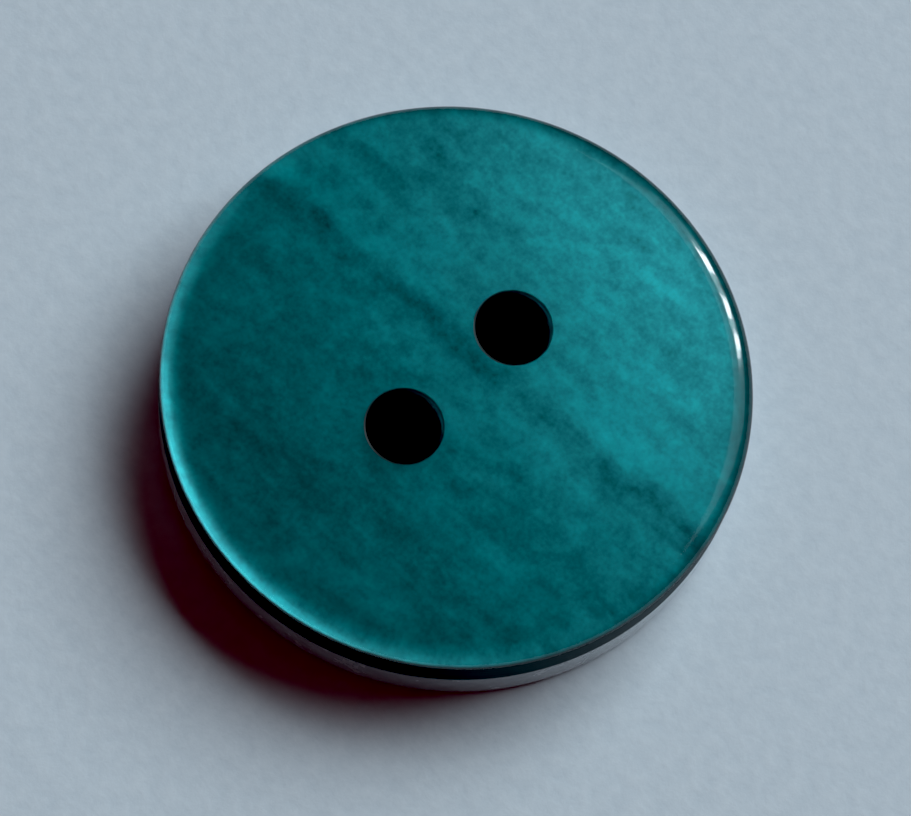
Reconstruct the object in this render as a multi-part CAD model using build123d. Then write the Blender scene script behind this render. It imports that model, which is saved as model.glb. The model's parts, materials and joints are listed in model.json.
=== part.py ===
from build123d import *
import os

# A flat, round, two-hole sew-through button, turned and drilled from a bonded three-layer sheet.
# All sizes are in millimetres. The origin is the centre of the back face, +Z points out of the
# front face, and the two thread holes lie along the X axis.

# Outside of the button
button_diameter = 15.0
face_shoulder_radius = 0.55
back_edge_radius = 0.30

# The bonded sheet, from the front face to the back face
clear_thickness = 0.35
pearl_thickness = 0.95
backing_thickness = 1.40

# Thread holes
thread_hole_diameter = 1.85
thread_hole_spacing = 3.85
thread_hole_lip_radius = 0.09

# The layers are cast onto each other, so their bonded faces meet with no gap.
bond_gap = 0.0

# Heights that follow from the sizes above
pearl_base_height = backing_thickness + bond_gap
clear_base_height = pearl_base_height + pearl_thickness + bond_gap
button_thickness = clear_base_height + clear_thickness

ON_BASE = (Align.CENTER, Align.CENTER, Align.MIN)


def turned_blank():
    """The plain disc with its rounded face shoulder and rounded back edge."""
    blank = Cylinder(button_diameter / 2, button_thickness, align=ON_BASE)
    blank = fillet(blank.edges().group_by(Axis.Z)[-1], face_shoulder_radius)
    return fillet(blank.edges().group_by(Axis.Z)[0], back_edge_radius)


def thread_hole_places():
    """The axes of the two thread holes, where they leave the back face."""
    return [Pos(side * thread_hole_spacing / 2, 0, 0) for side in (-1, 1)]


def is_thread_hole_mouth(edge):
    """True for a round edge of a thread hole, false for an edge of the rim."""
    return edge.radius < thread_hole_spacing / 2


def drilled_blank():
    """The turned disc with both thread holes through it, their mouths rounded for the thread."""
    drill = Cylinder(thread_hole_diameter / 2, button_thickness, align=ON_BASE)
    blank = turned_blank()
    for place in thread_hole_places():
        blank -= place * drill
    mouths = blank.edges().filter_by(GeomType.CIRCLE).filter_by(is_thread_hole_mouth)
    return fillet(mouths, thread_hole_lip_radius)


def layer(base_height, thickness):
    """The part of the drilled disc that lies within one layer of the sheet."""
    sheet = Box(2 * button_diameter, 2 * button_diameter, thickness, align=ON_BASE)
    return drilled_blank() & Pos(0, 0, base_height) * sheet


def pale_backing_layer():
    return layer(0, backing_thickness)


def teal_pearl_layer():
    return layer(pearl_base_height, pearl_thickness)


def clear_face_layer():
    return layer(clear_base_height, clear_thickness)


def main():
    os.makedirs("parts", exist_ok=True)
    for make_piece in (clear_face_layer, teal_pearl_layer, pale_backing_layer):
        export_step(make_piece(), f"parts/{make_piece.__name__}.step")


main()
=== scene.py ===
import bmesh
import bpy
import json
import math
from mathutils import Matrix, Quaternion, Vector, noise


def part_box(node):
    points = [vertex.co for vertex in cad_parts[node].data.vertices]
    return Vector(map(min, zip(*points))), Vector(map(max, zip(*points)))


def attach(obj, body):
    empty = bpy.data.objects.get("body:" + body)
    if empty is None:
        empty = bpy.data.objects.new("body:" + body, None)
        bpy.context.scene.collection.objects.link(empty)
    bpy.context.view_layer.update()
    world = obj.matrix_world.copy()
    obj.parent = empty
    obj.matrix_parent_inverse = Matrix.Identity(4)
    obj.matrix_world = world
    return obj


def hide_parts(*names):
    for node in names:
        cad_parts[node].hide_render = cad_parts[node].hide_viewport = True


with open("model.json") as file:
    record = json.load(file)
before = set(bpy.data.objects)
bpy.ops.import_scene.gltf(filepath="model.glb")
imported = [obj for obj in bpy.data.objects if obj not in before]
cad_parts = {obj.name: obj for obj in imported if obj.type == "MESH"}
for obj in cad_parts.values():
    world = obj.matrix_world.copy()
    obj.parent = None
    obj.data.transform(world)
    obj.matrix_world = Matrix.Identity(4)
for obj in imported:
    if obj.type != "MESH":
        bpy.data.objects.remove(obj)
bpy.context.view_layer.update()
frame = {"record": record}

# ---------------------------------------------------------------- sizes, in metres, from the frame
MM = 0.001
mounts = {mount["name"]: mount for mount in frame["record"]["mounts"]}
hole_mount = mounts["thread_hole_right"]
HOLE_OFFSET = hole_mount["pos_m"][0]
HOLE_RADIUS = hole_mount["dims"]["r_mm"] * MM
BUTTON_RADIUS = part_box("pale_backing_layer")[1].x
BACKING_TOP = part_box("pale_backing_layer")[1].z
PEARL_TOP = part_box("teal_pearl_layer")[1].z
FACE_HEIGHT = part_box("clear_face_layer")[1].z

# The rounded edges of the turned blank. A hole's lips take up what its straight wall leaves.
BACK_EDGE = 0.30 * MM
HOLE_LIP = (FACE_HEIGHT - hole_mount["dims"]["length_mm"] * MM) / 2

# Polishing rolls the flat over gently before it reaches the tighter corner of the shoulder.
ROLL_WIDTH = 0.34 * MM
ROLL_SLOPE = math.radians(18)
CORNER_WIDTH = 0.27 * MM

# It also leaves the clear face very slightly wavy. The second number is waves per metre.
POLISH_WAVE = 0.0025 * MM
POLISH_WAVE_RATE = 400

# The clear casting is wetted onto the pearl sheet, with no air between them.
WETTING_DEPTH = 0.004 * MM

# ---------------------------------------------------------------- mesh fineness
RIM_POINTS = 240
MIDLINE_POINTS = 60
CORNER_STEPS = 14
WALL_STEPS = 4
ROLL_STEPS = 8
CREASE_ANGLE = math.radians(35)
MERGE_DISTANCE = 1e-8
PROFILE_MARGIN = 1e-7

# A face's rings crowd towards the hole, with one more just outside the lip at LIP_MARGIN.
FACE_RINGS = 14
RING_CROWDING = 1.35
LIP_MARGIN = 0.004

# The material slots of every layer's mesh, in order
UPPER_FACE, LOWER_FACE, RIM, HOLE_WALL = range(4)


def between(outline, low, high):
    """The part of a rising (radius, height) outline from height low to height high."""

    def radius_at(height):
        for (r0, z0), (r1, z1) in zip(outline, outline[1:]):
            if z0 <= height <= z1:
                return r0 + (r1 - r0) * (height - z0) / (z1 - z0)
        return outline[-1][0]

    inside = [(r, z) for r, z in outline if low + PROFILE_MARGIN < z < high - PROFILE_MARGIN]
    return [(radius_at(low), low)] + inside + [(radius_at(high), high)]


def quarter_turn():
    """Angles round an edge, from 0 to a right angle."""
    return [step / CORNER_STEPS * math.pi / 2 for step in range(CORNER_STEPS + 1)]


def rim_profile(low, high):
    """Radius and height of the turned rim, from its back edge up to the flat of the face."""
    points = []
    for a in quarter_turn():
        radius = BUTTON_RADIUS - BACK_EDGE * (1 - math.sin(a))
        points.append((radius, BACK_EDGE * (1 - math.cos(a))))
    roll_drop = ROLL_WIDTH * math.tan(ROLL_SLOPE) / 2
    corner_radius = CORNER_WIDTH / (1 - math.sin(ROLL_SLOPE))
    corner_base = FACE_HEIGHT - roll_drop - corner_radius * math.cos(ROLL_SLOPE)
    for step in range(1, WALL_STEPS):
        height = BACK_EDGE + (corner_base - BACK_EDGE) * step / WALL_STEPS
        points.append((BUTTON_RADIUS, height))
    for step in range(CORNER_STEPS):
        a = (math.pi / 2 - ROLL_SLOPE) * step / CORNER_STEPS
        radius = BUTTON_RADIUS - corner_radius * (1 - math.cos(a))
        points.append((radius, corner_base + corner_radius * math.sin(a)))
    roll_edge = BUTTON_RADIUS - CORNER_WIDTH
    for step in range(ROLL_STEPS + 1):
        share = 1 - step / ROLL_STEPS
        radius = roll_edge - ROLL_WIDTH * (1 - share)
        points.append((radius, FACE_HEIGHT - roll_drop * share**2))
    return between(points, low, high)


def hole_profile(low, high):
    """Radius and height of a thread hole's wall, from its back lip up to its front lip."""
    points = []
    for a in quarter_turn():
        radius = HOLE_RADIUS + HOLE_LIP * (1 - math.sin(a))
        points.append((radius, HOLE_LIP * (1 - math.cos(a))))
    wall_steps = 2 * WALL_STEPS
    for step in range(1, wall_steps):
        height = HOLE_LIP + (FACE_HEIGHT - 2 * HOLE_LIP) * step / wall_steps
        points.append((HOLE_RADIUS, height))
    for a in quarter_turn():
        radius = HOLE_RADIUS + HOLE_LIP * (1 - math.cos(a))
        points.append((radius, FACE_HEIGHT - HOLE_LIP * (1 - math.sin(a))))
    return between(points, low, high)


def half_outline():
    """Unit outline of half a face: its arc, then the points back along the line between halves."""
    steps = RIM_POINTS // 2
    turns = [math.pi * (i / steps - 0.5) for i in range(steps + 1)]
    arc = [(math.cos(a), math.sin(a)) for a in turns]
    midline = [(0.0, 1 - 2 * i / MIDLINE_POINTS) for i in range(1, MIDLINE_POINTS)]
    return arc, midline


class HalfLayer:
    """One half of a layer, with its thread hole. side is 1 on the right and -1 on the left."""

    def __init__(self, bm, side):
        self.bm = bm
        self.side = side
        self.arc, midline = half_outline()
        self.outline = self.arc + midline
        self.centre = Vector((side * HOLE_OFFSET, 0))
        edge = [Vector((side * x, y)) * BUTTON_RADIUS for x, y in self.outline]
        self.ways = [(point - self.centre).normalized() for point in edge]

    def face_ring(self, share, rim_radius, hole_radius, height, wave):
        """Points at one share of the way from the hole's mouth to the edge of the flat."""
        points = []
        for (x, y), way in zip(self.outline, self.ways):
            inner = self.centre + way * hole_radius
            outer = Vector((self.side * x, y)) * rim_radius
            point = inner.lerp(outer, share)
            ripple = noise.noise((*(point * POLISH_WAVE_RATE), 0.0))
            lift = wave * math.sin(math.pi * share) * ripple
            points.append(self.bm.verts.new((point.x, point.y, height + lift)))
        return points

    def face_rings(self, rim_radius, hole_radius, height, wave):
        """Rings of points from the hole's mouth out to the edge of the flat."""
        shares = [(step / FACE_RINGS) ** RING_CROWDING for step in range(FACE_RINGS + 1)]
        shares.insert(1, LIP_MARGIN)
        return [self.face_ring(share, rim_radius, hole_radius, height, wave) for share in shares]

    def hole_ring(self, radius, height):
        places = [self.centre + way * radius for way in self.ways]
        return [self.bm.verts.new((*place, height)) for place in places]

    def rim_ring(self, radius, height):
        new = self.bm.verts.new
        return [new((self.side * x * radius, y * radius, height)) for x, y in self.arc]

    def stitch(self, rings, slot, closed, flip):
        """Faces between each ring and the next. A closed ring joins up with its own start."""
        count = len(rings[0])
        for lower, upper in zip(rings, rings[1:]):
            for i in range(count if closed else count - 1):
                j = (i + 1) % count
                corners = [lower[i], lower[j], upper[j], upper[i]]
                if flip:
                    corners.reverse()
                face = self.bm.faces.new(corners)
                face.material_index = slot
                face.smooth = True

    def build(self, low, high, wave):
        rim, hole = rim_profile(low, high), hole_profile(low, high)
        top = self.face_rings(rim[-1][0], hole[-1][0], high, wave)
        bottom = self.face_rings(rim[0][0], hole[0][0], low, wave)
        wall = [bottom[0]] + [self.hole_ring(r, z) for r, z in hole[1:-1]] + [top[0]]
        arc_count = len(self.arc)
        edge = [self.rim_ring(r, z) for r, z in rim[1:-1]]
        edge = [bottom[-1][:arc_count]] + edge + [top[-1][:arc_count]]
        mirrored = self.side < 0
        self.stitch(top, UPPER_FACE, closed=True, flip=not mirrored)
        self.stitch(bottom, LOWER_FACE, closed=True, flip=mirrored)
        self.stitch(wall, HOLE_WALL, closed=True, flip=not mirrored)
        self.stitch(edge, RIM, closed=False, flip=mirrored)


def layer_mesh(name, low, high, wave):
    """A closed shell of one layer: two drilled faces, the turned rim and both hole walls."""
    bm = bmesh.new()
    for side in (1, -1):
        HalfLayer(bm, side).build(low, high, wave)
    bmesh.ops.remove_doubles(bm, verts=bm.verts, dist=MERGE_DISTANCE)
    bmesh.ops.recalc_face_normals(bm, faces=bm.faces)
    for edge in bm.edges:
        if edge.calc_face_angle() > CREASE_ANGLE:
            edge.smooth = False
    mesh = bpy.data.meshes.new(name)
    bm.to_mesh(mesh)
    bm.free()
    return mesh


def layer_piece(name, node, low, high, materials, wave=0.0):
    """One visible layer. materials are for its upper face, lower face, rim and hole walls."""
    mesh = layer_mesh(name, low, high, wave)
    for material in materials:
        mesh.materials.append(material)
    piece = bpy.data.objects.new(name, mesh)
    bpy.context.scene.collection.objects.link(piece)
    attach(piece, "root")
    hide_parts(node)
    return piece


# ---------------------------------------------------------------- material helpers
class Nodes:
    """Short calls for building one material's node tree."""

    def __init__(self, name):
        self.material = bpy.data.materials.new(name)
        self.material.use_nodes = True
        self.tree = self.material.node_tree
        self.tree.nodes.clear()

    def add(self, kind, **settings):
        node = self.tree.nodes.new(kind)
        for key, value in settings.items():
            setattr(node, key, value)
        return node

    def feed(self, socket, value):
        """Link another node's output to a socket, or set it. A colour is three numbers."""
        if isinstance(value, bpy.types.NodeSocket):
            self.tree.links.new(value, socket)
        elif socket.type == "RGBA":
            socket.default_value = (*value, 1.0)
        elif value is not None:
            socket.default_value = value

    def millimetres(self, stretch=(1, 1, 1), turn=0.0, shift=(0, 0, 0)):
        """Object coordinates in millimetres, turned about Z, then squeezed by stretch."""
        coords = self.add("ShaderNodeTexCoord").outputs["Object"]
        turned = self.add("ShaderNodeMapping")
        self.feed(turned.inputs["Vector"], coords)
        turned.inputs["Scale"].default_value = (1 / MM, 1 / MM, 1 / MM)
        turned.inputs["Rotation"].default_value = (0, 0, turn)
        squeezed = self.add("ShaderNodeMapping")
        self.feed(squeezed.inputs["Vector"], turned.outputs[0])
        squeezed.inputs["Scale"].default_value = stretch
        squeezed.inputs["Location"].default_value = shift
        return squeezed.outputs[0]

    def coordinate(self, vector, axis):
        node = self.add("ShaderNodeSeparateXYZ")
        self.feed(node.inputs[0], vector)
        return node.outputs[axis]

    def length(self, vector):
        node = self.add("ShaderNodeVectorMath", operation="LENGTH")
        self.feed(node.inputs[0], vector)
        return node.outputs["Value"]

    def noise(self, vector, scale, detail=3.0, roughness=0.55, distortion=0.0):
        node = self.add("ShaderNodeTexNoise")
        self.feed(node.inputs["Vector"], vector)
        node.inputs["Scale"].default_value = scale
        node.inputs["Detail"].default_value = detail
        node.inputs["Roughness"].default_value = roughness
        node.inputs["Distortion"].default_value = distortion
        return node.outputs["Fac"]

    def maths(self, operation, a, b=None, c=None):
        node = self.add("ShaderNodeMath", operation=operation)
        for socket, value in zip(node.inputs, (a, b, c)):
            self.feed(socket, value)
        return node.outputs[0]

    def spread(self, value, low, high, to_low=0.0, to_high=1.0):
        """value, taken from the range low to high over to the range to_low to to_high."""
        node = self.add("ShaderNodeMapRange")
        self.feed(node.inputs["Value"], value)
        ends = {"From Min": low, "From Max": high, "To Min": to_low, "To Max": to_high}
        for key, number in ends.items():
            node.inputs[key].default_value = number
        return node.outputs[0]

    def ramp(self, value, *stops):
        """A colour ramp. Each stop is a place from 0 to 1 and a colour."""
        node = self.add("ShaderNodeValToRGB")
        self.feed(node.inputs["Fac"], value)
        elements = node.color_ramp.elements
        while len(elements) < len(stops):
            elements.new(0.5)
        for element, (place, colour) in zip(elements, stops):
            element.position = place
            element.color = (*colour, 1.0)
        return node.outputs["Color"]

    def blend(self, factor, a, b):
        """Colour a where factor is 0 and colour b where it is 1."""
        node = self.add("ShaderNodeMix", data_type="RGBA")
        for place, value in ((0, factor), (6, a), (7, b)):
            self.feed(node.inputs[place], value)
        return node.outputs[2]

    def bump(self, height, distance, strength):
        node = self.add("ShaderNodeBump")
        node.inputs["Strength"].default_value = strength
        node.inputs["Distance"].default_value = distance
        self.feed(node.inputs["Height"], height)
        return node.outputs["Normal"]

    def principled(self, **inputs):
        node = self.add("ShaderNodeBsdfPrincipled")
        for key, value in inputs.items():
            self.feed(node.inputs[key.replace("_", " ")], value)
        return node.outputs[0]

    def output(self, surface):
        node = self.add("ShaderNodeOutputMaterial")
        self.feed(node.inputs["Surface"], surface)
        return self.material


# ---------------------------------------------------------------- colours
PEARL_DARK = (0.007, 0.017, 0.022)
PEARL_BODY = (0.016, 0.130, 0.140)
PEARL_LIT = (0.017, 0.250, 0.262)
PEARL_RIM_SHADE = (0.001, 0.004, 0.005)
EDGE_DARK = (0.0, 0.010, 0.013)
EDGE_BODY = (0.0, 0.022, 0.027)
EDGE_LIT = (0.002, 0.052, 0.058)
BACKING_DARK = (0.22, 0.25, 0.27)
BACKING_LIT = (0.32, 0.355, 0.375)
BACKING_SPECK = (0.30, 0.38, 0.41)
BACKING_BLED = (0.004, 0.05, 0.06)
BACKING_HOLE_SHADE = (0.004, 0.010, 0.013)
CLEAR_POLISHED = (0.93, 0.99, 1.0)
CLEAR_HOLE_SHADE = (0.003, 0.004, 0.005)
CLEAR_SHADOW = (0.93, 0.96, 0.97)
PAPER_DARK = (0.62, 0.69, 0.76)
PAPER_LIT = (0.68, 0.745, 0.81)

# ---------------------------------------------------------------- materials
STREAK_TURN = math.radians(-5)

# Most of a noise texture's values lie between these two.
NOISE_LOW, NOISE_HIGH = 0.3, 0.7

# One soft fold in the flakes runs across the face, painted as a highlight on one side of it and
# shade on the other. Its place, half width and wander are in mm.
FOLD_PLACE = 1.05
FOLD_WIDTH = 0.48
FOLD_WANDER = 0.25
FOLD_WEIGHT = 0.50

# Painted shade: the pearl face is darkened towards the rim, over this range of millimetres in from
# it.
RIM_SHADE_BEGINS, RIM_SHADE_ENDS = 0.14, 0.07

# Teal bleeds raggedly into the backing's top. These are millimetres below and above the bond.
BLEED_BELOW, BLEED_ABOVE = 0.03, 0.06
BLEED_RAGGED = 0.10

# Both drilled walls are rougher than the polished surfaces.
POLISHED_ROUGHNESS = 0.09
DRILLED_ROUGHNESS = 0.42
RESIN_IOR = 1.52


def fold_painted_light_and_shade(n):
    """The main fold, painted: a highlight on one side of a line and shade on the other."""
    place = n.coordinate(n.millimetres(turn=STREAK_TURN), "X")
    wander = n.noise(n.millimetres((0, 1, 0), shift=(0, 5, 0)), 0.45, detail=2.0, roughness=0.5)
    bend = n.spread(wander, NOISE_LOW, NOISE_HIGH, -FOLD_WANDER, FOLD_WANDER)
    across = n.maths("SUBTRACT", n.maths("SUBTRACT", place, FOLD_PLACE), bend)
    narrow = n.maths("DIVIDE", across, FOLD_WIDTH)
    squared = n.maths("MULTIPLY", narrow, narrow)
    bell = n.maths("EXPONENT", n.maths("MULTIPLY", squared, -1.0))
    along = n.noise(n.millimetres((0.3, 1, 1), shift=(4, 1, 0)), 0.6, detail=2.0)
    strength = n.spread(along, 0.38, 0.62, 0.5, 1.0)
    return n.maths("MULTIPLY", n.maths("MULTIPLY", narrow, bell), strength)


def pearl_pattern(n):
    """Brightness of the flakes, about 0 to 1: random streaks, clouds and mottling, and one fold
    painted lit on one side and shaded on the other.
    """
    streaks = n.millimetres((1, 0.22, 1), STREAK_TURN)
    clouds = n.millimetres((1, 0.5, 1), STREAK_TURN, (7, 3, 0))
    mottling = n.millimetres((1, 0.75, 1), STREAK_TURN, (2, 9, 0))
    weights = (
        (n.noise(streaks, 1.5, distortion=0.4), 0.40),
        (n.noise(clouds, 0.5, detail=2.0, roughness=0.5, distortion=0.3), 0.40),
        (n.noise(mottling, 2.5, roughness=0.6), 0.60),
        (n.noise(n.millimetres(), 8.0, detail=2.0, roughness=0.5), 0.32),
    )
    total = n.maths("MULTIPLY_ADD", fold_painted_light_and_shade(n), FOLD_WEIGHT, 0.5)
    for part, weight in weights:
        total = n.maths("MULTIPLY_ADD", n.maths("SUBTRACT", part, 0.5), weight, total)
    return total


def pearl_face():
    """Teal pearl seen from the front: metallic flakes that lie with the sheet, in dyed resin."""
    n = Nodes("teal_pearl_face")
    colour = n.ramp(pearl_pattern(n), (0.0, PEARL_DARK), (0.5, PEARL_BODY), (1.0, PEARL_LIT))
    from_centre = n.length(n.millimetres((1, 1, 0)))
    rim = BUTTON_RADIUS / MM
    # Painted shade: the face goes nearly black in a thin band just inside the rim.
    colour = n.blend(n.spread(from_centre, rim - RIM_SHADE_BEGINS, rim - RIM_SHADE_ENDS), colour, PEARL_RIM_SHADE)
    brushed = n.noise(n.millimetres((1, 0.4, 1), STREAK_TURN), 1.8)
    surface = n.principled(
        Base_Color=colour,
        Metallic=0.82,
        Roughness=n.spread(brushed, NOISE_LOW, NOISE_HIGH, 0.28, 0.33),
        Specular_IOR_Level=0.0,
    )
    return n.output(surface)


def pearl_edge():
    """The pearl sheet cut across: flakes seen edge on, so the dyed resin reads almost black."""
    n = Nodes("teal_pearl_edge")
    strata = n.noise(n.millimetres((0.25, 0.25, 9)), 1.8, detail=4.0, roughness=0.6, distortion=0.4)
    surface = n.principled(
        Base_Color=n.ramp(strata, (0.35, EDGE_DARK), (0.62, EDGE_BODY), (0.8, EDGE_LIT)),
        Roughness=0.42,
        Specular_IOR_Level=0.05,
        Normal=n.bump(strata, distance=0.003 * MM, strength=0.5),
    )
    return n.output(surface)


def backing(drilled=False):
    """Pale opaque backing resin, faintly clouded, with the teal bled a little into its top."""
    n = Nodes("pale_backing_hole_shaded" if drilled else "pale_backing")
    clouds = n.noise(n.millimetres(), 1.1, detail=4.0, distortion=0.4)
    colour = n.ramp(clouds, (NOISE_LOW, BACKING_DARK), (NOISE_HIGH, BACKING_LIT))
    specks = n.noise(n.millimetres(), 9.0, detail=2.0, roughness=0.5)
    colour = n.blend(n.spread(specks, 0.62, 0.75, to_high=0.25), colour, BACKING_SPECK)
    height = n.coordinate(n.millimetres(), "Z")
    tongues = n.noise(n.millimetres((1, 1, 0.3)), 2.5)
    ragged = n.maths("MULTIPLY_ADD", tongues, BLEED_RAGGED, height)
    bond = BACKING_TOP / MM
    bled = n.spread(ragged, bond - BLEED_BELOW, bond + BLEED_ABOVE, to_high=0.9)
    colour = n.blend(bled, colour, BACKING_BLED)
    if drilled:
        # Painted shade: in the thread holes the backing's wall is painted nearly black.
        painted_hole_shade = n.spread(clouds, NOISE_LOW, NOISE_HIGH, 0.86, 0.95)
        colour = n.blend(painted_hole_shade, colour, BACKING_HOLE_SHADE)
        roughness = DRILLED_ROUGHNESS
    else:
        roughness = n.spread(clouds, NOISE_LOW, NOISE_HIGH, 0.2, 0.3)
    brushed = n.millimetres((14, 0.5, 1), turn=0.7)
    scratches = n.noise(brushed, 1.5, roughness=0.6, distortion=1.2)
    surface = n.principled(
        Base_Color=colour,
        Roughness=roughness,
        Subsurface_Weight=0.25,
        Subsurface_Radius=(0.5, 0.5, 0.5),
        Subsurface_Scale=0.3 * MM,
        Coat_Weight=0.0 if drilled else 1.0,
        Coat_Roughness=0.07,
        Normal=n.bump(scratches, distance=0.002 * MM, strength=0.4),
    )
    return n.output(surface)


def clear_resin(name, roughness, tint):
    """Clear casting. Lamp light passes straight through it to the pearl below."""
    n = Nodes(name)
    polish = n.noise(n.millimetres(), 1.3, roughness=0.5)
    glass = n.principled(
        Base_Color=tint,
        Roughness=roughness,
        IOR=RESIN_IOR,
        Transmission_Weight=1.0,
        Normal=n.bump(polish, distance=0.004 * MM, strength=0.5),
    )
    through = n.add("ShaderNodeBsdfTransparent")
    n.feed(through.inputs["Color"], CLEAR_SHADOW)
    mix = n.add("ShaderNodeMixShader")
    n.feed(mix.inputs[0], n.add("ShaderNodeLightPath").outputs["Is Shadow Ray"])
    n.feed(mix.inputs[1], glass)
    n.feed(mix.inputs[2], through.outputs[0])
    return n.output(mix.outputs[0])


def paper():
    """The pale, faintly toothed ground that the button lies on."""
    n = Nodes("pale_paper")
    tooth = n.noise(n.millimetres(), 2.2, detail=4.0)
    surface = n.principled(
        Base_Color=n.ramp(tooth, (NOISE_LOW, PAPER_DARK), (NOISE_HIGH, PAPER_LIT)),
        Roughness=0.85,
        Normal=n.bump(tooth, distance=0.05 * MM, strength=0.35),
    )
    return n.output(surface)


# ---------------------------------------------------------------- the button
def build_button():
    polished_clear = clear_resin("clear_polished", POLISHED_ROUGHNESS, CLEAR_POLISHED)
    # Painted shade: the clear layer's wall in the thread holes is tinted nearly black, which dims
    # everything seen through it.
    drilled_clear_shaded = clear_resin("clear_drilled_shaded", DRILLED_ROUGHNESS, CLEAR_HOLE_SHADE)
    face, edge = pearl_face(), pearl_edge()
    pale, pale_drilled_shaded = backing(), backing(drilled=True)
    clear_piece = layer_piece(
        "clear_face",
        "clear_face_layer",
        PEARL_TOP - WETTING_DEPTH,
        FACE_HEIGHT,
        (polished_clear, polished_clear, polished_clear, drilled_clear_shaded),
        POLISH_WAVE,
    )
    pearl_piece = layer_piece(
        "teal_pearl",
        "teal_pearl_layer",
        BACKING_TOP,
        PEARL_TOP,
        (face, edge, edge, edge),
    )
    backing_piece = layer_piece(
        "pale_backing",
        "pale_backing_layer",
        0.0,
        BACKING_TOP,
        (pale, pale, pale, pale_drilled_shaded),
    )
    return clear_piece, pearl_piece, backing_piece


# ---------------------------------------------------------------- floor, lights and camera
# The hole line runs along X, and in the picture it rises to the right by this angle.
HOLE_LINE_TURN = math.radians(44.5)

FLOOR_HALF = 0.6
FLOOR_DROP = 0.01 * MM

LAMP_COLOUR = (0.80, 0.95, 1.0)
WINDOW_DISTANCE = 1.2
PANE_AZIMUTHS = (34.5, 40.6, 47.9)
HAZE_SHARES = (1.0, 0.8, 0.6)
ROOM_LAMPS = 6

# The room's glow goes from one colour to the other between these heights, where overhead is 1.
HORIZON_HEIGHT, HORIZON_GLOW = 0.02, (0.058, 0.052, 0.058)
OVERHEAD_HEIGHT, OVERHEAD_GLOW = 0.25, (0.052, 0.010, 0.012)
BACKDROP = (0.34, 0.42, 0.47)

# CAMERA_AIM is in millimetres, along the picture's right and up from the button's centre.
CAMERA_DISTANCE = 0.100
CAMERA_AZIMUTH = -104.0
CAMERA_ELEVATION = 90 - 19.5
CAMERA_AIM = (0.140, 0.095, 0)
SENSOR_WIDTH = 36
FOCAL_LENGTH = 153.6
CLIP_NEAR, CLIP_FAR = 0.001, 10
BLACK_LEVEL = 0.012


def around(azimuth, elevation, distance, aim):
    """A place seen from aim, by its angle from the picture's right and its height, in degrees."""
    a = math.radians(azimuth) - HOLE_LINE_TURN
    e = math.radians(elevation)
    way = Vector((math.cos(a) * math.cos(e), math.sin(a) * math.cos(e), math.sin(e)))
    return aim + way * distance


def floor():
    mesh = bpy.data.meshes.new("floor")
    h = FLOOR_HALF
    mesh.from_pydata([(-h, -h, 0), (h, -h, 0), (h, h, 0), (-h, h, 0)], [], [(0, 1, 2, 3)])
    mesh.materials.append(paper())
    ground = bpy.data.objects.new("floor", mesh)
    ground.location.z = -FLOOR_DROP
    bpy.context.scene.collection.objects.link(ground)
    return ground


def light_set(name, pieces):
    """A collection of the only pieces that a lamp lights."""
    lit = bpy.data.collections.new(name)
    for piece in pieces:
        lit.objects.link(piece)
    return lit


def softbox(name, lit, azimuth, elevation, distance, size, power, roll=0.0):
    lamp = bpy.data.lights.new(name, "AREA")
    lamp.shape = "RECTANGLE"
    lamp.size, lamp.size_y = size
    lamp.energy = power
    lamp.color = LAMP_COLOUR
    box = bpy.data.objects.new(name, lamp)
    aim = Vector((0, 0, FACE_HEIGHT))
    box.location = around(azimuth, elevation, distance, aim)
    box.rotation_mode = "QUATERNION"
    facing = (aim - box.location).to_track_quat("-Z", "Y")
    box.rotation_quaternion = facing @ Quaternion((0, 0, 1), math.radians(roll))
    box.visible_camera = False
    box.light_linking.receiver_collection = lit
    bpy.context.scene.collection.objects.link(box)
    return box


def window_lights(clear_piece):
    """Window panes and the hazy glow around them, which the clear layer mirrors."""
    mirrored = light_set("mirrors_the_windows", (clear_piece,))
    for i, azimuth in enumerate(PANE_AZIMUTHS):
        softbox(
            f"pane_{i}",
            mirrored,
            azimuth=azimuth,
            elevation=44,
            distance=WINDOW_DISTANCE,
            size=(0.044, 0.27),
            power=1.3,
            roll=-17,
        )
    for i, share in enumerate(HAZE_SHARES):
        softbox(
            f"haze_{i}",
            mirrored,
            azimuth=37,
            elevation=52,
            distance=WINDOW_DISTANCE,
            size=(0.72 * share, 0.60 * share),
            power=0.9 * share**2,
        )


def room_light(backing_piece, ground):
    """The window's soft light on the pale backing and the paper."""
    softbox(
        "fill",
        light_set("lit_from_the_room", (backing_piece, ground)),
        azimuth=41,
        elevation=42,
        distance=WINDOW_DISTANCE,
        size=(1.04, 0.86),
        power=16.6,
    )


def light_through_clear_layer(pearl_piece):
    """The same light bent by the clear layer, which brings it to the pearl from higher up."""
    under_clear = light_set("lit_through_the_clear_layer", (pearl_piece,))
    lamps = [
        softbox(
            "bent_by_clear_layer",
            under_clear,
            azimuth=49,
            elevation=61,
            distance=0.09,
            size=(0.0235, 0.0235),
            power=0.030,
        )
    ]
    for i in range(ROOM_LAMPS):
        lamp = softbox(
            f"room_{i}",
            under_clear,
            azimuth=i * 360 / ROOM_LAMPS,
            elevation=52,
            distance=0.3,
            size=(0.128, 0.128),
            power=0.034,
        )
        lamps.append(lamp)
    # Rays aimed at a lamp cross the layer straight and chance ones bend, so only aimed ones count.
    for lamp in lamps:
        lamp.data.cycles.use_multiple_importance_sampling = False


def rear_card(pearl_piece, backing_piece):
    """A weak low card on the far side, for the wall that faces away from the window."""
    card = softbox(
        "rear_card",
        light_set("lit_by_the_card", (pearl_piece, backing_piece)),
        azimuth=128,
        elevation=14,
        distance=0.6,
        size=(0.5, 0.2),
        power=0.9,
    )
    card.visible_glossy = False


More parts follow.
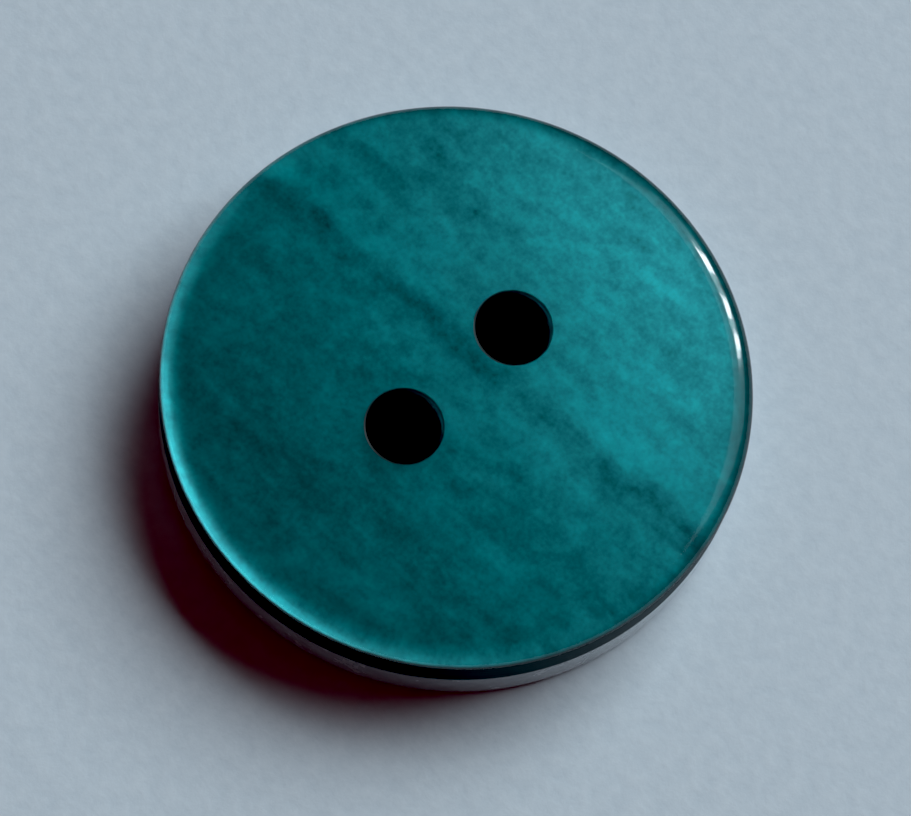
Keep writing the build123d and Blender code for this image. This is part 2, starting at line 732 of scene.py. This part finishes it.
def room_glow():
    """A dim room, warmer overhead, behind a plain pale backdrop that only the camera sees."""
    world = bpy.data.worlds.new("studio")
    world.use_nodes = True
    tree = world.node_tree
    background = tree.nodes["Background"]
    coords = tree.nodes.new("ShaderNodeTexCoord")
    parts = tree.nodes.new("ShaderNodeSeparateXYZ")
    sky = tree.nodes.new("ShaderNodeValToRGB")
    seen = tree.nodes.new("ShaderNodeLightPath")
    backdrop = tree.nodes.new("ShaderNodeMix")
    backdrop.data_type = "RGBA"
    tree.links.new(coords.outputs["Generated"], parts.inputs[0])
    tree.links.new(parts.outputs["Z"], sky.inputs["Fac"])
    tree.links.new(seen.outputs["Is Camera Ray"], backdrop.inputs[0])
    tree.links.new(sky.outputs["Color"], backdrop.inputs[6])
    backdrop.inputs[7].default_value = (*BACKDROP, 1.0)
    tree.links.new(backdrop.outputs[2], background.inputs["Color"])
    horizon, overhead = sky.color_ramp.elements
    horizon.position, horizon.color = HORIZON_HEIGHT, (*HORIZON_GLOW, 1.0)
    overhead.position, overhead.color = OVERHEAD_HEIGHT, (*OVERHEAD_GLOW, 1.0)
    bpy.context.scene.world = world


def camera():
    lens = bpy.data.cameras.new("camera")
    lens.sensor_width = SENSOR_WIDTH
    lens.lens = FOCAL_LENGTH
    lens.clip_start, lens.clip_end = CLIP_NEAR, CLIP_FAR
    eye = bpy.data.objects.new("camera", lens)
    turn = Matrix.Rotation(-HOLE_LINE_TURN, 3, "Z")
    aim = turn @ Vector(CAMERA_AIM) * MM
    eye.location = around(CAMERA_AZIMUTH, CAMERA_ELEVATION, CAMERA_DISTANCE, aim)
    forward = (aim - eye.location).normalized()
    picture_up = turn @ Vector((0, 1, 0))
    right = forward.cross(picture_up).normalized()
    up = right.cross(forward)
    facing = Matrix((right, up, -forward)).transposed().to_4x4()
    eye.matrix_world = Matrix.Translation(eye.location) @ facing
    bpy.context.scene.collection.objects.link(eye)
    bpy.context.scene.camera = eye


def tone():
    """The standard view, with its deepest shadows pressed to black."""
    view = bpy.context.scene.view_settings
    view.view_transform = "Standard"
    view.use_curve_mapping = True
    view.curve_mapping.black_level = (BLACK_LEVEL, BLACK_LEVEL, BLACK_LEVEL)


clear_piece, pearl_piece, backing_piece = build_button()
ground = floor()
window_lights(clear_piece)
room_light(backing_piece, ground)
light_through_clear_layer(pearl_piece)
rear_card(pearl_piece, backing_piece)
room_glow()
camera()
tone()
